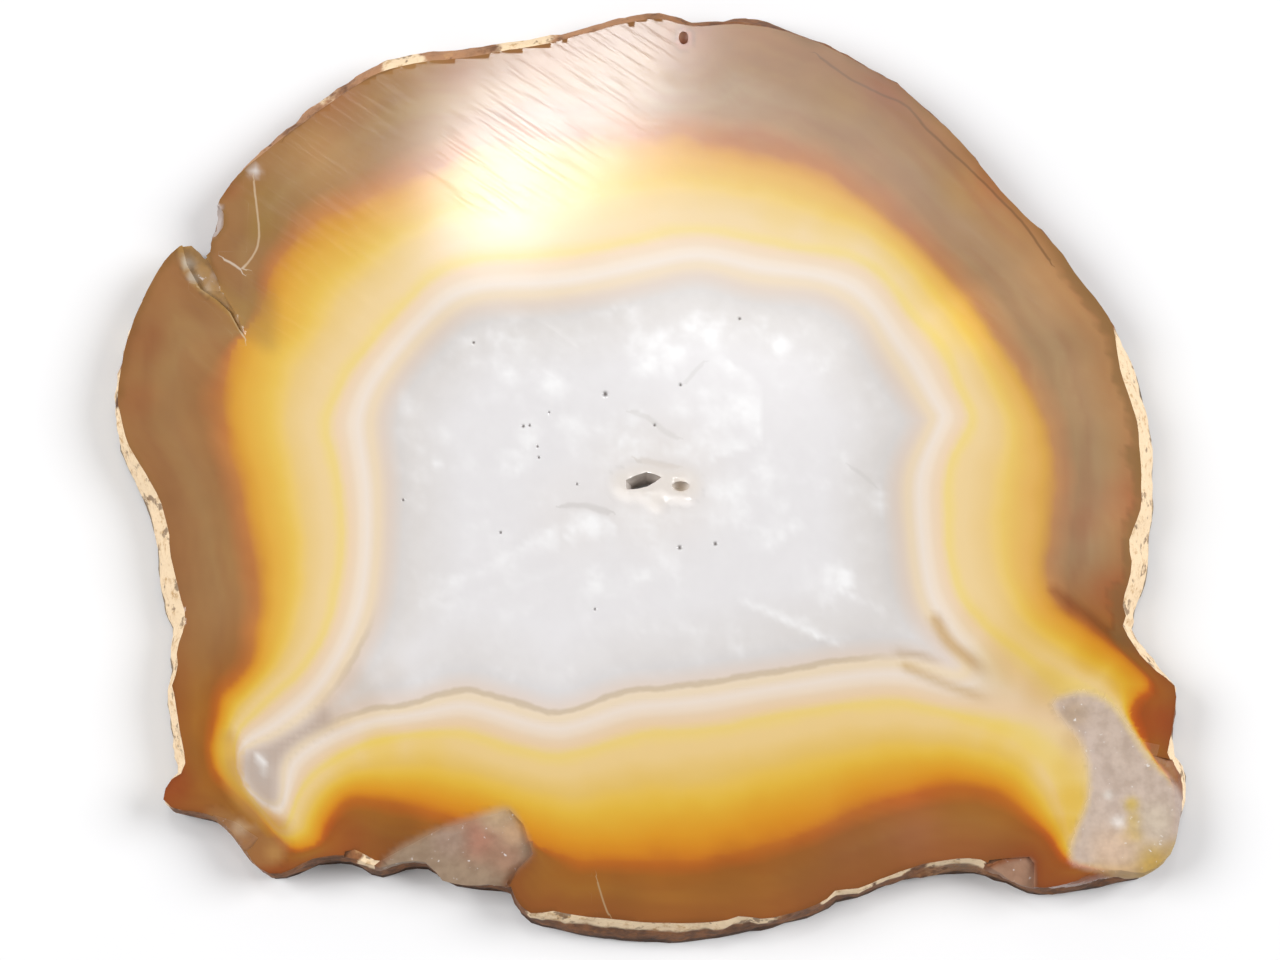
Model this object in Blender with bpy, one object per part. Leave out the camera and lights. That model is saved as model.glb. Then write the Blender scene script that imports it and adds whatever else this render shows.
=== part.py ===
# Agate slice: one sawn and polished slab of banded agate with its natural rind, seen from above
import math

import bmesh
import bpy
from mathutils import Vector, noise
from mathutils.geometry import delaunay_2d_cdt

# Driving dimensions, in metres
mm = 0.001
slab_thickness = 3.0 * mm
outline_spacing = 0.7 * mm
face_point_spacing = 4.5 * mm
pocket_point_spacing = 0.85 * mm
pocket_relief = 0.14 * mm
rind_roughness = 0.20 * mm
rind_grain = 1.6 * mm
cutter_clearance = 0.5 * mm
spread_half_sizes = (34.0 * mm, 30.0 * mm)

# How the inner points of the flat faces keep off the edge and off the quartz pocket
edge_margin = 1.2 * mm
pocket_margin = 1.0 * mm
pocket_edge_margin = 0.3 * mm
triangle_tolerance = 1e-9

# Shapes of the noise: the rind's, as evenness, growth and layers, then that of the points
rind_noise = (0.8, 2.0, 3)
nudge_grain = 0.37
nudge_share = 0.2
sugar_grain = 1.7
sugar_level = 0.75

# Curves and patterns
curve_steps = 12
direction_reach = 2
row_share = math.sqrt(0.75)

# Plain look of the stone, before it is dressed
stone_colour = (0.62, 0.42, 0.20, 1.0)
stone_roughness = 0.18

# The wall from the polished face down to the sawn base. Each level is the share of the
# thickness, the shares of the shoulder and foot widths, and the share of the rind's roughness
wall_levels = (
    (1.00, 0.00, 0.00, 0.35),
    (0.93, 0.60, 0.02, 0.70),
    (0.79, 1.00, 0.10, 1.00),
    (0.52, 0.60, 0.50, 1.00),
    (0.26, 0.15, 0.88, 1.00),
    (0.07, 0.00, 1.00, 0.80),
    (0.00, -0.04, 0.94, 0.60),
)

# The edge of the polished face, clockwise, in millimetres. After x and y come the shoulder and
# the foot: how far the rind stands out under the face's edge, and at the base
upper_right_edge = (
    (0.8, 28.9, 0.65, 0.1), (3.2, 28.5, 0.55, 0.4), (6.2, 28.6, 0.40, 1.5),
    (8.6, 28.2, 0.30, 1.3), (11.3, 27.25, 0.35, 0.0), (14.8, 25.35, 0.35, -0.6),
    (16.7, 24.1, 0.35, -0.6), (17.5, 23.2, 0.40, -0.6), (20.0, 20.8, 0.30, -0.6),
    (23.0, 16.95, 0.20, -0.5), (25.7, 14.1, 0.20, -0.4), (27.1, 12.1, 0.20, -0.3),
    (29.2, 9.0, 0.20, 0.4),
)
right_edge = (
    (29.75, 5.8, 0.40, 1.5), (30.7, 2.4, 0.40, 1.3), (30.8, 1.0, 0.40, 1.3),
    (30.95, -1.0, 0.35, 1.2), (30.75, -3.2, 0.40, 1.2), (30.0, -5.2, 0.50, 1.6),
    (30.15, -6.7, 0.40, 1.4), (29.55, -9.0, 0.40, 1.2), (29.75, -9.9, 0.25, 0.9),
    (29.55, -10.7, 0.30, 1.1), (31.0, -12.9, 0.30, 0.9), (32.3, -13.9, 0.20, 0.6),
    (32.65, -14.7, 0.10, 0.4), (32.3, -17.0, 0.15, 0.5), (32.0, -18.5, 0.40, 1.1),
    (32.45, -19.3, 0.35, 1.1), (32.5, -20.8, 0.30, 1.0), (32.6, -22.4, 0.10, 0.4),
    (32.1, -24.3, 0.10, 0.0), (30.4, -25.6, 0.15, 0.1),
)
bottom_edge = (
    (28.8, -25.45, 0.30, 0.6), (27.4, -25.45, 0.40, 0.9), (26.3, -26.15, 0.20, 0.4),
    (24.2, -26.55, 0.10, 0.1), (22.4, -26.0, 0.15, 0.1), (20.6, -24.9, 0.30, 0.6),
    (18.2, -24.95, 0.20, 0.6), (15.6, -25.65, 0.20, 0.3), (13.2, -26.6, 0.30, 0.4),
    (11.7, -26.8, 0.30, 0.5), (10.9, -27.55, 0.10, 0.3), (8.0, -28.4, 0.15, 0.4),
    (5.8, -28.4, 0.30, 0.8), (4.6, -28.7, 0.25, 0.8), (1.5, -28.8, 0.30, 1.0),
    (-2.4, -28.5, 0.35, 1.0), (-5.2, -28.15, 0.45, 0.9), (-6.5, -28.3, 0.20, 0.4),
    (-7.4, -27.5, 0.10, 0.2), (-7.9, -26.6, 0.10, 0.2), (-10.4, -26.45, 0.10, 0.1),
    (-11.8, -26.1, 0.15, 0.1), (-12.9, -25.3, 0.10, 0.1), (-14.5, -25.2, 0.10, 0.2),
    (-16.0, -25.5, 0.20, 0.4), (-17.3, -24.9, 0.30, 0.3), (-19.6, -25.0, 0.20, 0.2),
    (-22.1, -26.0, 0.10, 0.0), (-23.3, -25.4, 0.10, 0.0), (-24.4, -23.9, 0.15, 0.1),
    (-26.0, -22.5, 0.15, 0.1), (-28.4, -22.0, 0.15, 0.1),
)
left_edge = (
    (-29.15, -21.4, 0.10, 0.1), (-28.7, -20.4, 0.15, 0.3), (-27.8, -19.6, 0.40, 0.8),
    (-28.1, -17.8, 0.40, 0.9), (-28.6, -15.4, 0.35, 0.9), (-28.85, -14.4, 0.20, 0.7),
    (-28.45, -13.5, 0.40, 1.0), (-28.6, -12.2, 0.40, 0.9), (-28.15, -10.6, 0.55, 1.3),
    (-28.5, -8.9, 0.55, 1.5), (-29.2, -6.6, 0.45, 1.3), (-29.4, -4.9, 0.45, 1.3),
    (-30.2, -2.5, 0.45, 1.2), (-31.9, 0.3, 0.35, 0.9), (-32.45, 1.7, 0.35, 0.9),
    (-32.9, 3.9, 0.30, 0.7), (-32.7, 6.6, 0.20, 0.4), (-32.0, 9.3, 0.20, 0.3),
    (-30.6, 12.3, 0.20, 0.2), (-29.5, 13.65, 0.15, 0.1), (-28.7, 13.9, 0.05, 0.0),
)
upper_left_edge = (
    (-28.1, 13.2, 0.00, 0.0), (-27.75, 12.85, 0.00, 0.0), (-27.5, 13.4, 0.00, 0.0),
    (-27.35, 15.4, 0.05, 0.0), (-27.0, 16.8, 0.10, 0.0), (-25.8, 18.5, 0.25, 0.0),
    (-23.4, 20.7, 0.60, 0.1), (-20.2, 23.2, 0.75, 0.2), (-18.0, 24.8, 0.80, 0.2),
    (-15.4, 25.8, 1.00, 0.2), (-11.0, 26.4, 0.95, 0.1), (-6.0, 27.35, 0.75, 0.1),
    (-1.8, 28.55, 0.70, 0.1),
)

# The sugary quartz pocket at the lower right corner, in millimetres
pocket_outline = (
    (25.2, -15.3), (27.2, -14.6), (28.6, -15.3), (30.0, -17.3), (31.2, -18.9),
    (32.2, -20.4), (32.1, -23.6), (30.6, -25.0), (27.6, -25.1), (26.1, -24.6),
    (26.7, -22.4), (27.2, -19.8), (26.6, -17.2),
)

# Broken places in the polished face, as x, y and depth in millimetres round each floor.
# A small negative depth is a feather edge, where the break runs out in the face
feather = -0.04
flake_scar = (
    (-16.2, -25.1, feather), (-12.0, -22.8, feather), (-8.3, -21.7, feather), (-7.1, -22.9, 0.22),
    (-6.5, -24.7, 0.40), (-7.4, -25.6, 0.55), (-8.3, -27.4, 0.95), (-12.0, -27.4, 0.85),
    (-15.8, -26.6, 0.35),
)
corner_scar = (
    (22.0, -24.8, 0.08), (23.5, -24.7, 0.14), (23.8, -25.1, 0.26), (23.7, -27.2, 0.60),
    (21.4, -26.6, 0.60), (20.7, -25.6, 0.40), (21.1, -24.9, 0.12),
)
notch_break = (
    (-29.5, 14.4, 0.60), (-28.95, 12.4, 0.50), (-28.05, 10.85, 0.38), (-26.95, 10.1, 0.30),
    (-26.1, 9.3, 0.24), (-25.5, 8.2, 0.14), (-24.9, 7.6, feather), (-25.5, 9.0, feather),
    (-26.6, 10.7, feather), (-27.4, 12.3, 0.10), (-27.7, 12.9, 0.40), (-28.3, 14.4, 0.80),
)
lower_left_chip = (
    (-25.9, -22.2, feather), (-24.3, -22.7, feather), (-23.0, -23.5, feather),
    (-23.6, -24.4, 0.14), (-24.6, -25.0, 0.40), (-26.4, -23.4, 0.30),
)
pocket_ledge = (
    (30.5, -18.3, feather), (31.6, -18.6, 0.10), (32.1, -18.7, 0.25), (33.8, -18.9, 0.50),
    (33.8, -20.3, 0.50), (32.3, -20.1, 0.15), (31.3, -19.3, feather),
)
rim_ledge = (
    (-18.2, -25.9, 0.45), (-17.9, -24.6, 0.10), (-16.9, -24.4, feather), (-15.8, -25.0, feather),
    (-15.3, -25.4, 0.20), (-15.4, -26.3, 0.45),
)
breaks = {
    "flake_scar": flake_scar,
    "corner_scar": corner_scar,
    "notch_break": notch_break,
    "lower_left_chip": lower_left_chip,
    "pocket_ledge": pocket_ledge,
    "rim_ledge": rim_ledge,
}

# Rounded pits, in millimetres: middle, then half sizes
pits = {
    "edge_chip": ((-27.9, 15.4, 3.1), (1.25, 1.35, 1.3)),
    "red_pit": ((2.4, 27.7, 3.05), (0.34, 0.48, 0.30)),
    "vug_side_pit": ((2.35, -1.8, 3.05), (0.55, 0.30, 0.75)),
}

# The little hollow at the heart of the slice, which goes right through: its mouth in
# millimetres, and its width at shares of the thickness
vug_mouth = (
    (-1.05, -1.45), (-1.0, -2.0), (-0.35, -1.95), (0.25, -1.8), (0.75, -1.5),
    (1.1, -1.25), (0.7, -1.08), (0.2, -0.95), (-0.55, -1.2),
)
vug_levels = ((1.15, 1.05), (0.95, 1.00), (0.45, 0.72), (-0.15, 0.95))

# The slab's own box is off the drawing's middle by this much
drawing_middle = Vector((-0.015, 0.12)) * mm


def clear_scene():
    for item in list(bpy.data.objects):
        bpy.data.objects.remove(item, do_unlink=True)


def make_material():
    material = bpy.data.materials.new("banded_agate")
    material.use_nodes = True
    shader = material.node_tree.nodes["Principled BSDF"]
    shader.inputs["Base Color"].default_value = stone_colour
    shader.inputs["Roughness"].default_value = stone_roughness
    shader.inputs["Metallic"].default_value = 0.0
    return material


def catmull_rom(before, start, end, after, share):
    """Point on the smooth curve from start to end; each point is a list of numbers."""
    result = []
    for p, q, r, s in zip(before, start, end, after):
        bend = (2.0 * p - 5.0 * q + 4.0 * r - s) * share * share
        twist = (3.0 * q - p - 3.0 * r + s) * share ** 3
        result.append(0.5 * (2.0 * q + (r - p) * share + bend + twist))
    return result


def closed_curve(stations, spacing):
    """Smooth closed curve through the stations, cut into even steps of about the spacing."""
    fine = []
    count = len(stations)
    for index in range(count):
        neighbours = [stations[(index + shift) % count] for shift in (-1, 0, 1, 2)]
        for step in range(curve_steps):
            fine.append(catmull_rom(*neighbours, step / curve_steps))
    lengths = [0.0]
    for start, end in zip(fine, fine[1:] + fine[:1]):
        lengths.append(lengths[-1] + math.dist(start[:2], end[:2]))
    steps = round(lengths[-1] / spacing)
    points = []
    segment = 0
    for step in range(steps):
        target = lengths[-1] * step / steps
        while lengths[segment + 1] < target:
            segment += 1
        start, end = fine[segment], fine[(segment + 1) % len(fine)]
        share = (target - lengths[segment]) / (lengths[segment + 1] - lengths[segment])
        points.append([a + (b - a) * share for a, b in zip(start, end)])
    return points


def outward_directions(points):
    """Outward directions along a clockwise outline, evened out over a few neighbours."""
    count = len(points)
    directions = []
    for index in range(count):
        before = points[(index - direction_reach) % count]
        after = points[(index + direction_reach) % count]
        along = Vector((after[0] - before[0], after[1] - before[1])).normalized()
        directions.append(Vector((-along.y, along.x)))
    return directions


def wall_rings(points, directions):
    """Rings of points down the wall, from the face's edge to the base."""
    rings = []
    for height, shoulder_share, foot_share, rough_share in wall_levels:
        ring = []
        for (x, y, shoulder, foot), direction in zip(points, directions):
            place = Vector((x, y, height * slab_thickness))
            bump = noise.fractal(place / rind_grain, *rind_noise)
            width = shoulder * shoulder_share + foot * foot_share
            width += bump * rind_roughness * rough_share
            ring.append(place + (direction * width).to_3d())
        rings.append(ring)
    return rings


def spread_points(spacing):
    """Triangular pattern of points over the slab, each nudged a little off its place."""
    points = []
    half_x, half_y = spread_half_sizes
    columns = math.ceil(half_x / spacing)
    rows = math.ceil(half_y / (spacing * row_share))
    for row in range(-rows, rows + 1):
        for column in range(-columns, columns + 1):
            place = Vector((column + 0.5 * (row % 2), row * row_share, 0.0)) * spacing
            nudge = noise.noise_vector(place / (nudge_grain * spacing)).to_2d()
            points.append(place.to_2d() + nudge * nudge_share * spacing)
    return points


def inside_distance(point, outline):
    """Distance from the outline's line, positive inside it."""
    crossings = 0
    nearest = math.inf
    for start, end in zip(outline, outline[1:] + outline[:1]):
        along = end - start
        share = (point - start).dot(along) / along.length_squared
        foot = start + along * min(1.0, max(0.0, share))
        nearest = min(nearest, (point - foot).length)
        if (start.y > point.y) != (end.y > point.y):
            if point.x < start.x + (point.y - start.y) / along.y * along.x:
                crossings += 1
    return nearest if crossings % 2 else -nearest


def face_heights(points, pocket):
    """Heights of points on the polished face: level, but sugary in the quartz pocket."""
    heights = []
    for point in points:
        depth_share = min(1.0, max(0.0, inside_distance(point, pocket) / pocket_point_spacing))
        grain = noise.noise(point.to_3d() / pocket_point_spacing * sugar_grain)
        heights.append(slab_thickness - depth_share * pocket_relief * (sugar_level + grain))
    return heights


def add_cap(mesh, ring, inner_points, inner_heights, upward):
    """Flat cap inside a ring of mesh corners, with more corners at the inner points."""
    flat = [corner.co.to_2d() for corner in ring] + inner_points
    edges = [(index, (index + 1) % len(ring)) for index in range(len(ring))]
    places, _, faces, sources, _, _ = delaunay_2d_cdt(flat, edges, [], 1, triangle_tolerance)
    corners = []
    for place, source in zip(places, sources):
        if source[0] < len(ring):
            corners.append(ring[source[0]])
        else:
            height = inner_heights[source[0] - len(ring)]
            corners.append(mesh.verts.new((place.x, place.y, height)))
    for face in faces:
        order = face if upward else face[::-1]
        mesh.faces.new([corners[index] for index in order])


def make_slab(material):
    """The slab with its rough wall and both flat sides, before anything is broken out."""
    edge = upper_right_edge + right_edge + bottom_edge + left_edge + upper_left_edge
    stations = [[value * mm for value in station] for station in edge]
    points = closed_curve(stations, outline_spacing)
    for point in points:
        point[0] -= drawing_middle.x
        point[1] -= drawing_middle.y
    directions = outward_directions(points)
    rings = wall_rings(points, directions)
    mesh = bmesh.new()
    rows = [[mesh.verts.new(place) for place in ring] for ring in rings]
    count = len(points)
    for upper, lower in zip(rows, rows[1:]):
        for index in range(count):
            after = (index + 1) % count
            mesh.faces.new((upper[index], upper[after], lower[after], lower[index]))
    pocket = [Vector(place) * mm - drawing_middle for place in pocket_outline]
    wide = spread_points(face_point_spacing)
    fine = spread_points(pocket_point_spacing)
    for ring, upward in ((rows[0], True), (rows[-1], False)):
        outline = [corner.co.to_2d() for corner in ring]
        inner = [place for place in wide if inside_distance(place, outline) > edge_margin]
        heights = [0.0] * len(inner)
        if upward:
            inner = [place for place in inner if inside_distance(place, pocket) < -pocket_margin]
            inner += [
                place for place in fine
                if inside_distance(place, pocket) > 0.0
                and inside_distance(place, outline) > pocket_edge_margin
            ]
            heights = face_heights(inner, pocket)
        add_cap(mesh, ring, inner, heights, upward)
    bmesh.ops.recalc_face_normals(mesh, faces=mesh.faces)
    data = bpy.data.meshes.new("agate_slice")
    mesh.to_mesh(data)
    mesh.free()
    data.materials.append(material)
    slab = bpy.data.objects.new("agate_slice", data)
    bpy.context.collection.objects.link(slab)
    return slab


def lofted_cutter(name, rings):
    """Closed cutter through rings of places, listed from the top down."""
    mesh = bmesh.new()
    rows = [[mesh.verts.new(place) for place in ring] for ring in rings]
    count = len(rings[0])
    for upper, lower in zip(rows, rows[1:]):
        for index in range(count):
            after = (index + 1) % count
            mesh.faces.new((upper[index], upper[after], lower[after], lower[index]))
    lids = [mesh.faces.new(rows[0]), mesh.faces.new(rows[-1])]
    bmesh.ops.triangulate(mesh, faces=lids)
    bmesh.ops.recalc_face_normals(mesh, faces=mesh.faces)
    return finish_cutter(name, mesh)


def finish_cutter(name, mesh):
    data = bpy.data.meshes.new(name)
    mesh.to_mesh(data)
    mesh.free()
    cutter = bpy.data.objects.new(name, data)
    bpy.context.collection.objects.link(cutter)
    cutter.hide_render = True
    cutter.display_type = "WIRE"
    return cutter


def break_cutter(name, floor):
    """Block over the face whose underside is the broken floor."""
    top = slab_thickness + cutter_clearance
    upper = [Vector((x * mm, y * mm, top)) - drawing_middle.to_3d() for x, y, _ in floor]
    lower = []
    for place, (_, _, depth) in zip(upper, floor):
        lower.append(Vector((place.x, place.y, slab_thickness - depth * mm)))
    return lofted_cutter(name, [upper, lower])


def pit_cutter(name, middle, half_sizes):
    mesh = bmesh.new()
    bmesh.ops.create_icosphere(mesh, subdivisions=2, radius=1.0)
    for corner in mesh.verts:
        stretched = [value * half * mm for value, half in zip(corner.co, half_sizes)]
        corner.co = Vector(stretched) + Vector(middle) * mm - drawing_middle.to_3d()
    return finish_cutter(name, mesh)


def vug_cutter():
    mouth = [Vector(place) * mm - drawing_middle for place in vug_mouth]
    middle = sum(mouth, Vector((0.0, 0.0))) / len(mouth)
    rings = []
    for height, width in vug_levels:
        ring = [(middle + (place - middle) * width).to_3d() for place in mouth]
        rings.append([place + Vector((0.0, 0.0, height * slab_thickness)) for place in ring])
    return lofted_cutter("vug", rings)


def cut(slab, cutter):
    modifier = slab.modifiers.new(cutter.name, "BOOLEAN")
    modifier.operation = "DIFFERENCE"
    modifier.object = cutter


def main():
    clear_scene()
    slab = make_slab(make_material())
    for name, floor in breaks.items():
        cut(slab, break_cutter(name, floor))
    for name, (middle, half_sizes) in pits.items():
        cut(slab, pit_cutter(name, middle, half_sizes))
    cut(slab, vug_cutter())


main()
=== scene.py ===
import math

import bpy
import numpy as np
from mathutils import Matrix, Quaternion, Vector, noise
from mathutils.bvhtree import BVHTree


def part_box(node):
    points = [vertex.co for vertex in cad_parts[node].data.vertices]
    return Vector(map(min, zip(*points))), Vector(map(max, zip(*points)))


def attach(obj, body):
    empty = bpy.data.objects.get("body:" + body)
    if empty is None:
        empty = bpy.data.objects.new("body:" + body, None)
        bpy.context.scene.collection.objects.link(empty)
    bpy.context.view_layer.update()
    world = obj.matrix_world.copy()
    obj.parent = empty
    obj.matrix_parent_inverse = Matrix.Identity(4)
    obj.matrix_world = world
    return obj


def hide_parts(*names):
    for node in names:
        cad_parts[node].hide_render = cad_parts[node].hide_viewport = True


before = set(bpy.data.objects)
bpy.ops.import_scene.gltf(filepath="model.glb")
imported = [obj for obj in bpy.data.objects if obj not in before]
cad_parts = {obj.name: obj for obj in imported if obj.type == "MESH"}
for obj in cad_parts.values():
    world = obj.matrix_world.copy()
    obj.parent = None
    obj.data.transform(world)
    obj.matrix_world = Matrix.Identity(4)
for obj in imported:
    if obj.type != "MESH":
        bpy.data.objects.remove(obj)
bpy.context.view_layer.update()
mm = 0.001
drawingMiddle = (-0.015, 0.12)   # the drawing's own zero, in mm from the slab's middle

print("stage: band lines and marks")

# Band lines of the stone, clockwise from the top, in mm on the drawing
bandLines = {
    "orange": (
        (0, 20.8), (2, 21), (5, 20.3), (10, 19.1), (13.5, 17.2), (16.6, 14.4), (19.7, 11.1),
        (22.3, 7.2), (24.6, 3.2), (25.4, 0), (25.1, -4), (24.8, -7), (25.2, -8.9), (26.8, -10.2),
        (28.7, -11.7), (30.6, -13.3), (31.1, -14.3), (30.1, -15.2), (29.9, -16.3), (31.3, -18.8),
        (32.4, -20.5), (32.2, -23.5), (31, -25), (29, -25.5), (26, -25), (24.6, -23.2), (22.4, -21.2),
        (20.4, -20.4), (17, -20.6), (13, -21.9), (9, -23.5), (4, -24.8), (-2, -25), (-4, -24.9),
        (-8, -23.7), (-10, -22.8), (-14, -21.8),
        (-17.5, -21.3), (-18.9, -22.5), (-19.6, -24.2), (-21.3, -24.4), (-23.2, -22.4),
        (-25.6, -20.2), (-26.3, -18.5), (-26, -16.5), (-25.7, -15), (-24, -13), (-23.5, -9),
        (-24.2, -5), (-25.2, -1), (-26.1, 3), (-25.9, 7), (-24.2, 9.5), (-23.4, 12.2),
        (-21, 14.9), (-17, 16.9), (-11, 19.8), (-6, 20.8),
    ),
    "yellow": (
        (-1, 14.4), (3, 15.1), (6, 14.8), (10, 13.95), (13, 13.4), (15, 12.3), (17, 9.6),
        (18.9, 7.5), (20, 4.8), (20.8, 2.5), (19.6, 0.2), (19.2, -3), (19.4, -6.5),
        (20.4, -9.2), (24, -12.5), (27.5, -14.3), (28.8, -15.2), (30, -17.2), (32, -20.5),
        (31.8, -23.3), (30.5, -24.7), (27.8, -24.9), (26.2, -24), (25.4, -20.8), (23.9, -18.4),
        (21, -16.8), (18, -16.1), (15, -15.6), (11, -16.1), (8, -16.5), (4.5, -17.3), (0, -17.7),
        (-3, -18.6), (-5, -19), (-8, -18.5), (-11, -17.6), (-15, -17.8), (-18, -18.8),
        (-20.5, -20.8), (-21.5, -23.3), (-22.6, -22.8), (-24.5, -20), (-24.8, -17.5),
        (-23.3, -15.5), (-21, -13.2), (-19.5, -10), (-18.9, -5), (-19.7, 0), (-20.1, 1.5),
        (-20, 3), (-18.6, 6), (-15, 10.5), (-13, 12.3), (-10, 13.2), (-5, 13.5),
    ),
    "core": (
        (0, 11.4), (3.5, 12.1), (7, 11.2), (11, 10.75), (13.6, 9.1), (15.1, 6.5), (17.3, 3),
        (17.5, 2.2), (16.1, -1), (16.2, -5), (16.8, -9), (18.3, -11.5), (19.4, -13.2),
        (16.5, -12.5), (13, -12.6), (9, -13.3), (6, -13.8), (2, -14.4), (-1, -14.7), (-5, -16),
        (-8, -15.3), (-11, -14.65), (-14, -15.5), (-17, -16), (-20, -17.2), (-21.9, -18.9),
        (-22, -21), (-22.4, -21.6), (-24.1, -20.6), (-24.4, -18.6), (-22, -17.6),
        (-19.3, -15.3), (-17.1, -11.5), (-16.2, -8), (-16.1, -2), (-16.6, 2.5), (-15.3, 5.5),
        (-12.3, 8.9), (-10, 10), (-6, 10.2), (-2, 10.9),
    ),
}

# Broken and changed places, closed outlines in mm: soft edge, colour, share, and spots of other
# colours as x, y, radius in mm
patches = {
    "pocket": (
        ((25.2, -15.2), (27, -14.6), (28.7, -15.4), (30, -17.3), (31.1, -18.9), (32.5, -20.3),
         (33.5, -22), (33.5, -24), (31.5, -26.3), (29.5, -26.2), (27.3, -25.4), (26, -24.9),
         (26.3, -23.2), (27, -21.5), (27.2, -19.5), (26.8, -17.6), (25.6, -16.2)),
        (-0.35, 0.4), "#cdb9ad", 0.94,
        ((31, -25.2, 1.5, "#c8a44c"), (28.6, -25.6, 1.2, "#cfa85c"), (32.6, -24.4, 0.9, "#cdb06c"),
         (29.8, -21.5, 0.5, "#d2b45a"), (30.0, -22.4, 0.5, "#cfae50"), (29.9, -23.2, 0.6, "#d0b058"),
         # the near-white spot at (28.9, -22.6) is a painted glint
         (29.3, -23.6, 0.5, "#cfae60"), (28.9, -22.6, 0.4, "#f4efec"), (28.4, -20.9, 0.3, "#dcd2ca"),
         (28.6, -24.2, 1.4, "#dcbfa8"), (31.2, -22.5, 1.2, "#d3c2b0"), (26.4, -16.0, 0.9, "#b9a089")),
    ),
    "scar": (
        ((-15.4, -25), (-13, -23.5), (-11, -22.7), (-9.3, -22.1), (-8, -21.9), (-7.2, -23),
         (-6.6, -24.6), (-7.4, -25.5), (-8.2, -26.3), (-9, -27.6), (-16, -27.6)),
        (-0.35, 0.45), "#a89178", 0.9,
        ((-9.8, -23.8, 1.3, "#b5806a"), (-8.2, -24.8, 1.1, "#b0886f"), (-8.9, -22.5, 0.9, "#c2aa8c"),
         (-11.6, -23.8, 1.1, "#b09684"), (-7.7, -23.4, 0.7, "#c8a684")),
    ),
    "cornerScar": (
        ((22.2, -24.9), (23.4, -24.7), (23.8, -25), (23.7, -26.8), (21.6, -26.6), (20.9, -25.6)),
        (-0.1, 0.25), "#b08a70", 0.8, (),
    ),
    "notch": (
        ((-29.6, 14.2), (-29.3, 12.2), (-28.4, 10.9), (-27.2, 10), (-26.3, 9.1), (-25.3, 7.8),
         (-25.4, 8.9), (-26.5, 10.5), (-27.3, 12), (-27.6, 12.8), (-28.2, 14.2)),
        (-0.15, 0.2), "#b08648", 0.85,
        ((-29, 12.6, 0.5, "#d2c4ae"), (-28.6, 11.6, 0.4, "#cfc4b2"), (-27.7, 10.8, 0.4, "#c8a878")),
    ),
    "olive": (
        ((-27.2, 11.4), (-25.6, 10.3), (-23.5, 10.4), (-23.3, 7.1), (-24.9, 7.7), (-26, 9.2)),
        (-0.8, 0.7), "#a98648", 0.5, (),
    ),
    "arm": (
        ((-19, -16.9), (-21, -18.1), (-22, -19.5), (-22.1, -21.7), (-23, -21.8), (-24.2, -20.3),
         (-24.3, -18.8), (-22.8, -18), (-20.8, -16.9), (-19.4, -15.8)),
        (-0.5, 0.6), "#b6a08f", 0.75,
        ((-23.1, -19.2, 0.3, "#efe9e4"), (-23.3, -18.8, 0.2, "#f5f0ec"), (-22.9, -19.7, 0.25, "#ddd4cc")),
    ),
    "armEnd": (
        ((-25.0, -17.4), (-24.4, -19), (-23.8, -21), (-22.4, -22.2), (-21.4, -22.9), (-21.5, -24),
         (-22.8, -23.4), (-24.6, -21.8), (-25.6, -19.5), (-25.7, -17.6)),
        (-0.5, 0.5), "#c79640", 0.75,
        ((-23.6, -22.2, 0.9, "#b98a48"), (-22.3, -23.0, 0.7, "#c08430"), (-25.2, -18.4, 0.7, "#d9a83c")),
    ),
    "lowerChip": (
        ((-26.2, -22), (-24.3, -22.5), (-22.8, -23.4), (-21.4, -23.8), (-21.7, -25.3),
         (-23.6, -25.6), (-26.4, -23.8)),
        (-0.3, 0.4), "#a67845", 0.6,
        ((-24.4, -23.2, 0.5, "#d2b58e"), (-22.2, -24.7, 0.55, "#c59a5a"), (-23.6, -22.9, 0.4, "#c8a67c")),
    ),
    "glassChip": (
        ((-27.4, 14.2), (-27, 15), (-26.9, 15.8), (-27.1, 16.5), (-28.4, 16.2), (-28.4, 14.2)),
        (-0.1, 0.15), "#ddd0cb", 0.9, ((-27.4, 13.8, 0.5, "#c98a3c"),),
    ),
    "pit": (
        ((1.9, 27.2), (2.2, 28.1), (2.7, 28.3), (3.0, 27.7), (2.6, 27.0)), (-0.2, 0.15), "#a4603c", 0.85,
        ((2.5, 27.5, 0.25, "#8a4628"), (2.2, 28.0, 0.2, "#c09070")),
    ),
    # mouth: the white crystal rim round the hollow. Its pale colour also covers the hollow's walls as painted
    # light against their shade, and the spot at (2.35, -1.8) in the dimple is painted lighter to offset its
    # shade
    "mouth": (
        ((-1.7, -1.3), (-1, -0.9), (0.4, -0.6), (1.6, -0.9), (2.9, -0.9), (3.4, -1.8), (2.8, -2.6),
         (1.4, -2.6), (0.9, -3.3), (-0.1, -2.6), (-1.2, -2.5), (-1.7, -2.1)),
        (-0.6, 0.4), "#ece3da", 0.8,
        ((2.35, -1.8, 0.35, "#dcc9ae"), (0.3, -2.5, 0.3, "#f2ece6"), (1.7, -3.0, 0.3, "#d8cdbf"),
         (-0.6, -2.2, 0.3, "#f0e8e0"), (2.9, -1.2, 0.25, "#f2ebe4")),
    ),
}

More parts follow.
